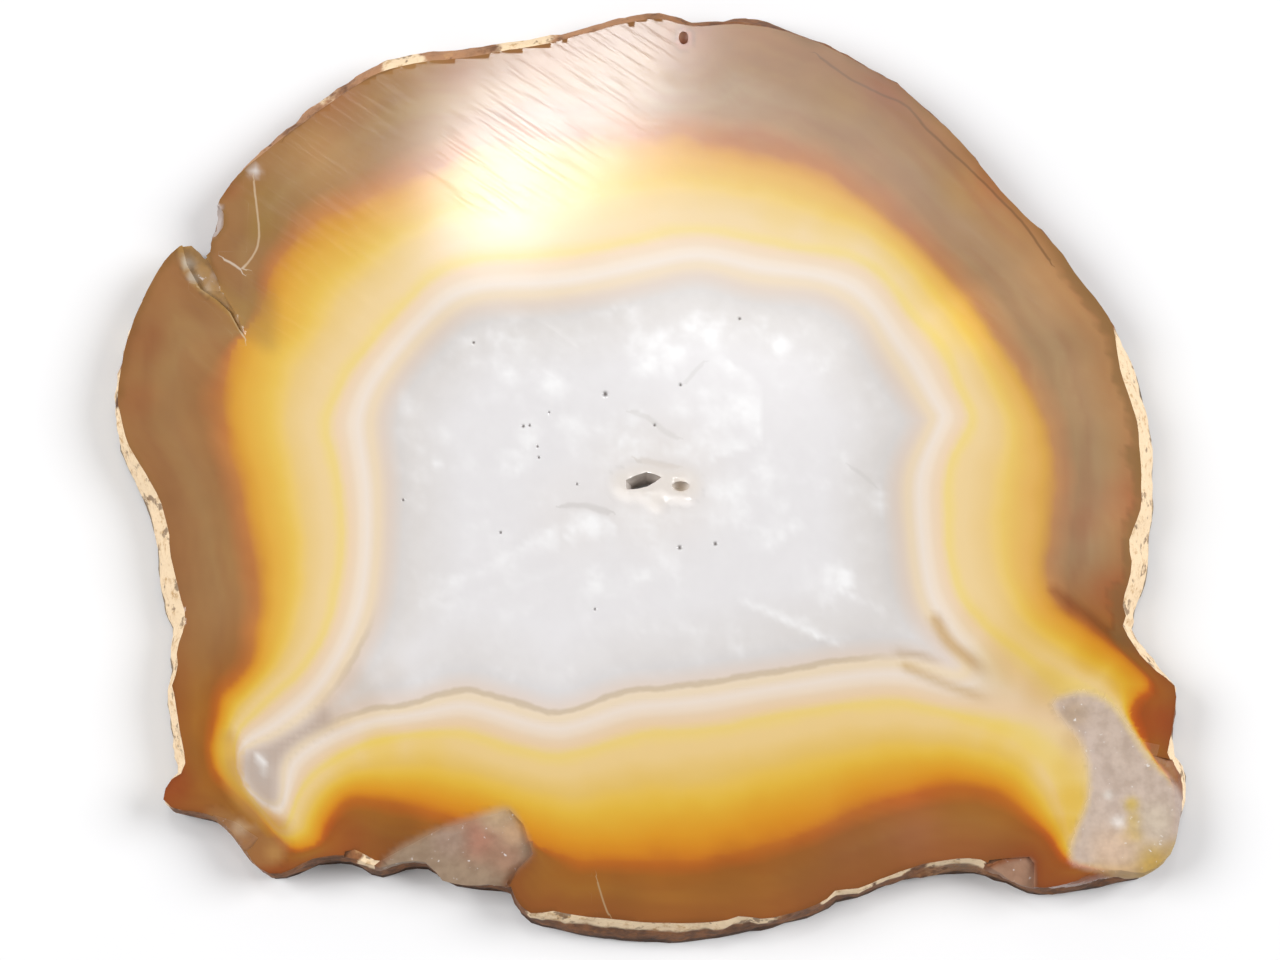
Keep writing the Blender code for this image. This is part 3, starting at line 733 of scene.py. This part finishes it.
def measureSlice(piece, wall):
    # keeps at every corner what the materials need; returns the distances in mm
    mesh = piece.data
    corners = places(mesh)
    flat = onDrawing(corners)
    gaps = {name: lineGap(flat, outline, True) for name, outline in bandLines.items()}
    gaps["rind"] = np.array([wall.find_nearest(Vector(place))[3] for place in corners]) / mm
    for name, patch in patches.items():
        gaps[name] = lineGap(flat, patch[0], True)
    band = bandValues(gaps, gaps["rind"], noiseAt(flat, banding["driftGrain"], 3))
    keepValue(mesh, "band", band)
    cloudy = noiseAt(flat, tints["cloudyGrain"], 3, tints["cloudyShift"])
    keepColour(mesh, "cast", castColours(flat, band, gaps["rind"], cloudy))
    keepColour(mesh, "patch", *patchColours(flat, gaps, corners))
    line, tones, shares = lineValues(flat, gaps["core"])
    keepValue(mesh, "line", line)
    keepColour(mesh, "lineColour", tones, shares)
    keepValue(mesh, "frost", frostValues(flat, gaps["core"], gaps["mouth"]))
    keepValue(mesh, "crust", strongest(flat, crustSpots))
    return gaps


def roughen(piece, name, kind, grain, depth, weights):
    # pushes the weighted part of the surface inwards by a noise texture
    group = piece.vertex_groups.new(name=name)
    for index in np.flatnonzero(weights > sliceShape["leastWeight"]):
        group.add([int(index)], float(weights[index]), "REPLACE")
    texture = bpy.data.textures.new(name, kind)
    texture.noise_scale = grain
    if kind == "CLOUDS":
        texture.noise_depth = sliceShape["grainLayers"]
    push = piece.modifiers.new(name, "DISPLACE")
    push.texture = texture
    push.vertex_group = name
    push.mid_level = 1
    push.strength = depth
    bpy.ops.object.modifier_apply(modifier=push.name)
    piece.vertex_groups.clear()


# How far inside its outline, or outside it where negative, a place's finish starts, in mm
reaches = {
    "chips": ("scar", "cornerScar", "notch", "lowerChip", "glassChip", "pit"),
    "chip": -0.15,
    "chipGrain": -0.1,
    "hollow": -0.8,
    "hollowGrain": (-0.3, 0.3),
    "pocket": 0.1,
    "pocketGrain": 0.6,
    "pocketNear": -0.8,
    "pocketWide": -1.9,
    "pocketRim": 30.5,      # x on the drawing
}


def dressSlice(piece, gaps):
    # rough skin on the rind and the broken places, pinholes, and the faces of each material
    spec = sliceShape
    start = reaches
    mesh = piece.data
    low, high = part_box("agate_slice")
    corners = places(mesh)
    height = corners[:, 2]
    flat = onDrawing(corners)
    offFace = (height < high.z - spec["faceSkin"]) & (height > low.z + spec["faceSkin"])
    upper = height > high.z - spec["breakHeight"]
    broken = np.max([gaps[name] for name in start["chips"]], axis=0)
    pocket = gaps["pocket"]
    hollow = gaps["mouth"] > start["hollow"]
    inBreak = (broken > start["chip"]) & upper | hollow
    nearPocket = pocket > start["pocketNear"]
    nearPocket |= (pocket > start["pocketWide"]) & (flat[:, 0] < start["pocketRim"])
    onWall = offFace & ~inBreak & ~(nearPocket & upper)
    activate(piece)
    roughen(piece, "rindGrain", "CLOUDS", spec["rindGrain"], spec["rindDepth"], onWall * 1.0)
    roughen(piece, "breakGrain", "CLOUDS", spec["breakGrain"], spec["breakDepth"],
            (offFace & (broken > start["chipGrain"]) & upper) * 1.0)
    roughen(piece, "sugarGrain", "VORONOI", spec["sugarGrain"], spec["sugarDepth"],
            np.clip(pocket / start["pocketGrain"], 0, 1) * upper)
    roughen(piece, "rimGrain", "CLOUDS", spec["rimGrain"], spec["rimDepth"],
            rise(gaps["mouth"], *start["hollowGrain"]) * upper)
    corners = places(mesh)
    inFace = height > high.z - spec["holeTop"]
    for x, y, radius in pinholes:
        corners[:, 2] -= spec["holeDepth"] * spotShare(flat, x, y, radius) * inFace
    mesh.vertices.foreach_set("co", corners.astype(np.float32).ravel())
    matte = inBreak & offFace | (pocket > start["pocket"]) & upper
    matte |= (pocket > start["pocketNear"]) & upper & offFace & (flat[:, 0] > start["pocketRim"])
    for face in mesh.polygons:
        wallShare = [onWall[index] for index in face.vertices]
        if any(wallShare) and all(onWall[index] or not offFace[index] for index in face.vertices):
            face.material_index = 2
        else:
            face.material_index = int(any(matte[index] for index in face.vertices))
    bpy.ops.object.shade_smooth_by_angle(angle=math.radians(spec["edgeAngle"]))


class Wire:
    # one output of a node, with the sums that the materials use
    def __init__(self, paint, socket):
        self.paint = paint
        self.socket = socket

    def sum(self, operation, first, second):
        return self.paint.add("Math", {"operation": operation}, {0: first, 1: second})

    def __add__(self, other):
        return self.sum("ADD", self, other)

    def __sub__(self, other):
        return self.sum("SUBTRACT", self, other)

    def __mul__(self, other):
        return self.sum("MULTIPLY", self, other)

    __radd__ = __add__
    __rmul__ = __mul__

    def __rsub__(self, other):
        return self.sum("SUBTRACT", other, self)

    def size(self):
        return self.sum("ABSOLUTE", self, 0.0)

    def step(self, low, high, first=0.0, last=1.0):
        # goes smoothly from the first value at low to the last one at high
        return self.paint.add("MapRange", {"interpolation_type": "SMOOTHSTEP"}, {
            "Value": self, "From Min": low, "From Max": high, "To Min": first, "To Max": last})


class Paint:
    # the nodes of one material
    def __init__(self, name):
        self.material = bpy.data.materials.new(name)
        self.material.use_nodes = True
        self.tree = self.material.node_tree
        self.tree.nodes.clear()

    def add(self, kind, settings=None, sockets=None, output=0):
        node = self.tree.nodes.new("ShaderNode" + kind)
        for key, value in (settings or {}).items():
            if key == "stops":
                self.setStops(node.color_ramp, value)
            else:
                setattr(node, key, value)
        for key, value in (sockets or {}).items():
            if isinstance(value, Wire):
                self.tree.links.new(value.socket, node.inputs[key])
            else:
                node.inputs[key].default_value = value
        return Wire(self, node.outputs[output]) if node.outputs else None

    def setStops(self, ramp, stops):
        while len(ramp.elements) > 1:
            ramp.elements.remove(ramp.elements[-1])
        for index, (place, colour) in enumerate(stops):
            stop = ramp.elements[0] if index == 0 else ramp.elements.new(place)
            stop.position = place
            stop.color = tint(colour)

    def ramp(self, value, stops):
        # colours along a value, between the first stop's place and the last one's
        low, high = stops[0][0], stops[-1][0]
        even = [((at - low) / (high - low), colour) for at, colour in stops]
        share = self.add("MapRange", {}, {"Value": value, "From Min": low, "From Max": high})
        return self.add("ValToRGB", {"stops": even}, {"Fac": share})

    def mark(self, name, output="Fac"):
        # a value or colour kept on the surface
        return self.add("Attribute", {"attribute_name": name}, output=output)

    def mix(self, factor, first, second, blend="MIX"):
        first, second = [tint(item) if isinstance(item, str) else item for item in (first, second)]
        return self.add("Mix", {"data_type": "RGBA", "blend_type": blend},
                        {"Factor": factor, 6: first, 7: second}, output=2)

    def grain(self, place, scale, detail=2.0, rough=0.5, turn=None, stretch=1.0):
        # noise, stretched along a direction where a turn is given
        if turn is not None:
            place = self.add("Mapping", {"vector_type": "TEXTURE"}, {
                "Vector": place, "Rotation": (0.0, 0.0, turn), "Scale": (stretch, 1.0, 1.0)})
        return self.add("TexNoise", {}, {"Vector": place, "Scale": scale, "Detail": detail,
                                         "Roughness": rough})

    def finish(self, shader):
        self.add("OutputMaterial", {}, {"Surface": shader})
        return self.material


print("stage: finishes")

# Grain is scale, detail and roughness, then turn and stretch; a step is where noise starts and ends
# to count, and the values there
stone = {
    "clearness": 0.25,          # share of the light that goes through the stone
    "lightBending": 1.54,
    "faceGrain": (800.0, 2.0, 0.6),
    "breakGrain": (1300.0, 2.0, 0.6),
    "glintGrain": (2200.0, 2.0, 0.7),
    "scratchGrain": (6800.0, 1.0, 0.5, -0.6, 24.0),
    "polishStep": (0.48, 0.70, 0.10, 0.15),
    "matteStep": (0.3, 0.7, 0.47, 0.77),
    "frostStep": (0.28, 0.7, 0.45, 1.25),
    "lineWaver": (0.3, 0.7, -0.3, 0.3),
    "lineEdge": (0.3, 1.4, 1.0, 0.0),
    "shadeStep": (0.3, 0.7, 0.3, 0.0),
    "glintStep": (0.66, 0.76, 0.0, 0.7),
    "breakShade": "#a08c7c",
    "breakBump": 0.35,
    "breakBumpDepth": 0.05 * mm,
    "white": "#fbfafa",
    "bands": (                  # colours by band value
        (0.00, "#8c6031"), (0.08, "#99693c"), (0.50, "#9e7548"), (0.72, "#9d6f41"),
        (0.86, "#ae713e"), (0.95, "#b9773c"), (1.00, "#c58436"), (1.04, "#cd8e34"), (1.10, "#d69b34"),
        (1.20, "#dea93e"), (1.35, "#e1b448"), (1.45, "#e4bd53"), (1.55, "#e7c469"), (1.65, "#e5c57f"),
        (1.85, "#e8cc95"), (1.93, "#e9cd96"), (2.00, "#ead08c"), (2.06, "#ead084"), (2.12, "#ead188"),
        (2.18, "#e9d09c"), (2.28, "#e9cfae"), (2.40, "#e8d2b7"), (2.50, "#ebdac6"), (2.65, "#eaddd0"),
        (2.75, "#e8d7c3"), (2.82, "#e7d4b7"), (2.90, "#e7d3b6"), (3.06, "#dcccbf"),
        (3.25, "#d5d0cd"), (3.42, "#dcd7d4"), (3.70, "#e3dfde"), (4.00, "#e9e6e7"),
    ),
}


def paintStone(name, broken):
    # the bands, tinted from side to side, with clouds, fine lines and changed places over them, and painted
    # glints on broken stone
    spec = stone
    paint = Paint(name)
    place = paint.add("TexCoord", output="Object")
    fine = paint.grain(place, *spec["breakGrain" if broken else "faceGrain"])
    colour = paint.ramp(paint.mark("band"), spec["bands"])
    colour = paint.mix(1.0, colour, paint.mark("cast", "Color"), "MULTIPLY")
    frost = paint.mark("frost") * fine.step(*spec["frostStep"])
    colour = paint.mix(frost, colour, spec["white"])
    line = (paint.mark("line") + fine.step(*spec["lineWaver"])).size().step(*spec["lineEdge"])
    colour = paint.mix(line * paint.mark("lineColour", "Alpha"), colour, paint.mark("lineColour", "Color"))
    tone = paint.mark("patch", "Color")
    if broken:
        tone = paint.mix(fine.step(*spec["shadeStep"]), tone, spec["breakShade"], "MULTIPLY")
        # painted glints: white specks for crystal faces catching the light
        glints = paint.grain(place, *spec["glintGrain"])
        tone = paint.mix(glints.step(*spec["glintStep"]), tone, spec["white"])
    colour = paint.mix(paint.mark("patch", "Alpha"), colour, tone)
    sockets = {"Base Color": colour, "IOR": spec["lightBending"], "Transmission Weight": spec["clearness"]}
    if broken:
        sockets["Roughness"] = fine.step(*spec["matteStep"])
        sockets["Normal"] = paint.add("Bump", {}, {
            "Strength": spec["breakBump"], "Distance": spec["breakBumpDepth"], "Height": fine + glints})
    else:
        scratches = paint.grain(place, *spec["scratchGrain"])
        sockets["Roughness"] = scratches.step(*spec["polishStep"])
    return paint.finish(paint.add("BsdfPrincipled", {}, sockets))


rind = {
    "dark": "#5a3820",
    "middle": "#86552f",
    "rust": "#a0683e",
    "pale": "#c79a68",
    "skin": "#bb8c68",
    "cream": "#ecd2ae",
    "creamShade": "#bf9868",
    "footShadowTone": "#2e1c10",
    "coarseGrain": (420.0, 4.0, 0.65),
    "fineGrain": (1700.0, 3.0, 0.7),
    "pitGrain": (1000.0, 3.0, 0.6),
    "middleStep": (0.35, 0.65),
    "rustStep": (0.4, 0.7, 0.0, 0.5),
    "skinUp": (0.012, 0.02),
    "skinRight": (-0.004, 0.006, 0.7, 0.0),
    "skinStep": (0.25, 0.5),
    "paleStep": (0.58, 0.72),
    "paleShare": 0.7,
    "creamStep": (0.5, 0.75),
    "crustNoise": 0.9,
    "crustStep": (0.28, 0.42),
    "underRimNoise": 0.8 * mm,
    "underRimHigh": (1.9 * mm, 2.3 * mm, 1.0, 0.0),
    "underRimUp": (-0.026, -0.023, 1.0, 0.0),
    "pitStep": (0.58, 0.66),
    "pitShare": 0.7,
    "footNoise": 0.9 * mm,
    "footHigh": (0.5 * mm, 0.8 * mm, 0.75, 0.0),
    "bump": 0.7,
    "bumpDepth": 0.2 * mm,
    "roughness": 0.7,
    "roughnessNoise": 0.25,
}


def paintRind():
    # brown crust with cream patches, small pits and a painted shadow along the foot
    spec = rind
    paint = Paint("rind")
    place = paint.add("TexCoord", output="Object")
    up = paint.add("SeparateXYZ", {}, {0: place}, output="Y")
    right = paint.add("SeparateXYZ", {}, {0: place}, output="X")
    high = paint.add("SeparateXYZ", {}, {0: place}, output="Z")
    coarse = paint.grain(place, *spec["coarseGrain"])
    fine = paint.grain(place, *spec["fineGrain"])
    brown = paint.mix(coarse.step(*spec["middleStep"]), spec["dark"], spec["middle"])
    upperLeft = up.step(*spec["skinUp"]) * right.step(*spec["skinRight"])
    brown = paint.mix(fine.step(*spec["rustStep"]), brown, spec["rust"])
    brown = paint.mix(upperLeft * coarse.step(*spec["skinStep"]), brown, spec["skin"])
    brown = paint.mix(coarse.step(*spec["paleStep"]) * spec["paleShare"], brown, spec["pale"])
    cream = paint.mix(fine.step(*spec["creamStep"]), spec["cream"], spec["creamShade"])
    crust = (paint.mark("crust") + (coarse - 0.5) * spec["crustNoise"]).step(*spec["crustStep"])
    underRim = (high + (coarse - 0.5) * spec["underRimNoise"]).step(*spec["underRimHigh"])
    underRim = underRim * up.step(*spec["underRimUp"])
    colour = paint.mix(crust * (1 - underRim), brown, cream)
    pits = paint.grain(place, *spec["pitGrain"]).step(*spec["pitStep"])
    colour = paint.mix(pits * spec["pitShare"], colour, spec["dark"])
    # painted contact shadow: dark colour low on the wall, where it meets the floor
    foot = (high + (coarse - 0.5) * spec["footNoise"]).step(*spec["footHigh"])
    colour = paint.mix(foot, colour, spec["footShadowTone"])
    bump = paint.add("Bump", {}, {
        "Strength": spec["bump"], "Distance": spec["bumpDepth"], "Height": fine + coarse})
    shader = paint.add("BsdfPrincipled", {}, {
        "Base Color": colour, "Roughness": spec["roughness"] + fine * spec["roughnessNoise"],
        "Normal": bump})
    return paint.finish(shader)


piece, wall = makeSlice()
gaps = measureSlice(piece, wall)
piece.data.materials.clear()
piece.data.materials.append(paintStone("polishedStone", False))
piece.data.materials.append(paintStone("brokenStone", True))
piece.data.materials.append(paintRind())
dressSlice(piece, gaps)
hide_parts("agate_slice")
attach(piece, "root")
print("triangles:", len(piece.data.polygons))

print("stage: floor, lights and camera")

studio = {
    "floorSize": 3.0,
    "floorDrop": 0.02 * mm,
    "floorTone": "#e9e9ea",
    "floorShade": "#e2e2e3",
    "floorGrain": 40.0,
    "floorRoughness": 0.7,
    "floorGloss": 0.2,
    "worldStrength": 0.35,
    "lamps": {
        "glareLamp": {"place": (-0.031, 0.238, 0.603), "size": (0.044, 0.090), "turn": -45, "power": 0.17},
        "glareTail": {"place": (-0.050, 0.218, 0.603), "size": (0.040, 0.050), "turn": -20, "power": 0.03},
        "veilLamp": {"place": (0.020, 0.216, 0.600), "size": (0.090, 0.130), "turn": 0, "power": 0.08},
        "leftLamp": {"place": (-0.55, 0.05, 0.50), "size": (0.50, 0.50), "turn": 0, "power": 3.8},
        "rightLamp": {"place": (0.60, 0.10, 0.50), "size": (0.50, 0.50), "turn": 0, "power": 4.8},
    },
}
view = {
    "place": (2.980 * mm, -45.453 * mm, 194.649 * mm),
    "tilt": (12.905, 0.869, 0.22),   # degrees about X, Y and Z, turned in the order Y, X, Z
    "lens": 88.97,
    "sensor": 36.0,
    "nearest": 10 * mm,
}


def makeFloor():
    spec = studio
    deselectAll()
    bpy.ops.mesh.primitive_plane_add(size=spec["floorSize"], location=(0, 0, -spec["floorDrop"]))
    floor = bpy.context.object
    floor.name = "floor"
    bpy.ops.object.transform_apply(location=True, rotation=True, scale=True)
    paint = Paint("paleFloor")
    place = paint.add("TexCoord", output="Object")
    tone = paint.mix(paint.grain(place, spec["floorGrain"]), spec["floorTone"], spec["floorShade"])
    floor.data.materials.append(paint.finish(paint.add("BsdfPrincipled", {}, {
        "Base Color": tone, "Roughness": spec["floorRoughness"],
        "Specular IOR Level": spec["floorGloss"]})))


def makeLamp(name, spec):
    # an oval lamp that faces the slab
    lamp = bpy.data.objects.new(name, bpy.data.lights.new(name, "AREA"))
    bpy.context.collection.objects.link(lamp)
    lamp.data.shape = "ELLIPSE"
    lamp.data.size, lamp.data.size_y = spec["size"]
    lamp.data.energy = spec["power"]
    lamp.location = spec["place"]
    aim = Vector(spec["place"]).to_track_quat("Z", "Y")
    roll = Quaternion((0, 0, 1), math.radians(spec["turn"]))
    lamp.rotation_euler = (aim @ roll).to_euler()


def makeWorld():
    world = bpy.data.worlds.new("softRoom")
    bpy.context.scene.world = world
    world.use_nodes = True
    background = world.node_tree.nodes["Background"]
    background.inputs["Color"].default_value = (1.0, 1.0, 1.0, 1.0)
    background.inputs["Strength"].default_value = studio["worldStrength"]


def makeCamera():
    spec = view
    camera = bpy.data.objects.new("camera", bpy.data.cameras.new("camera"))
    bpy.context.collection.objects.link(camera)
    camera.location = spec["place"]
    camera.rotation_mode = "YXZ"
    camera.rotation_euler = [math.radians(angle) for angle in spec["tilt"]]
    camera.data.lens = spec["lens"]
    camera.data.sensor_width = spec["sensor"]
    camera.data.clip_start = spec["nearest"]
    bpy.context.scene.camera = camera


makeFloor()
for name, spec in studio["lamps"].items():
    makeLamp(name, spec)
makeWorld()
makeCamera()
bpy.context.scene.view_settings.view_transform = "Standard"
